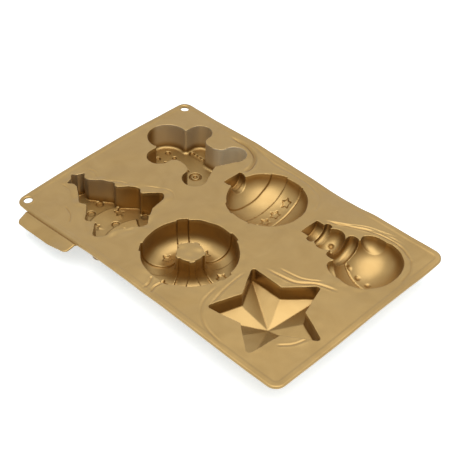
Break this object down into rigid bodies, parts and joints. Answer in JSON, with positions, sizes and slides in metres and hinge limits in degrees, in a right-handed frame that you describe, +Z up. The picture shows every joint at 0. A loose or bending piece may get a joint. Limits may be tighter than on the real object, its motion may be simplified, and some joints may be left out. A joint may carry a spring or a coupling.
{
  "type": "silicone dessert mold",
  "caption": "Flexible metallic silicone baking mold with festive cake cavities in a rectangular sheet, hanging holes in two corners and a pull tab on a long side.",
  "frame": {"origin": "Middle of the overall outline, tab included, on the plane the cup undersides rest on.", "axes": "+X along the long side from the hanging holes to the plain end, +Y from the tab's long side to the other one, +Z up out of the cavities."},
  "size_m": [0.3, 0.2126, 0.0283],
  "materials": {
    "silicone": "satin, gold-pigmented silicone"
  },
  "bodies": {
    "mould": {"deck": "silicone", "rim": "silicone", "hanging_ring_far": "silicone", "hanging_ring_near": "silicone", "cup_gingerbread": "silicone", "cup_bauble": "silicone", "cup_snowman": "silicone", "cup_tree": "silicone", "cup_wreath": "silicone", "cup_star": "silicone"},
    "tab": {"pull_tab": "silicone"}
  },
  "joints": [
    {"name": "tab_flex", "type": "hinge", "parent": "mould", "child": "tab", "pos_m": [-0.1, -0.09434, 0.0268], "axis": [1, 0, 0], "range_deg": [-60, 30], "stiffness_Nm_per_rad": 0.03}
  ]
}
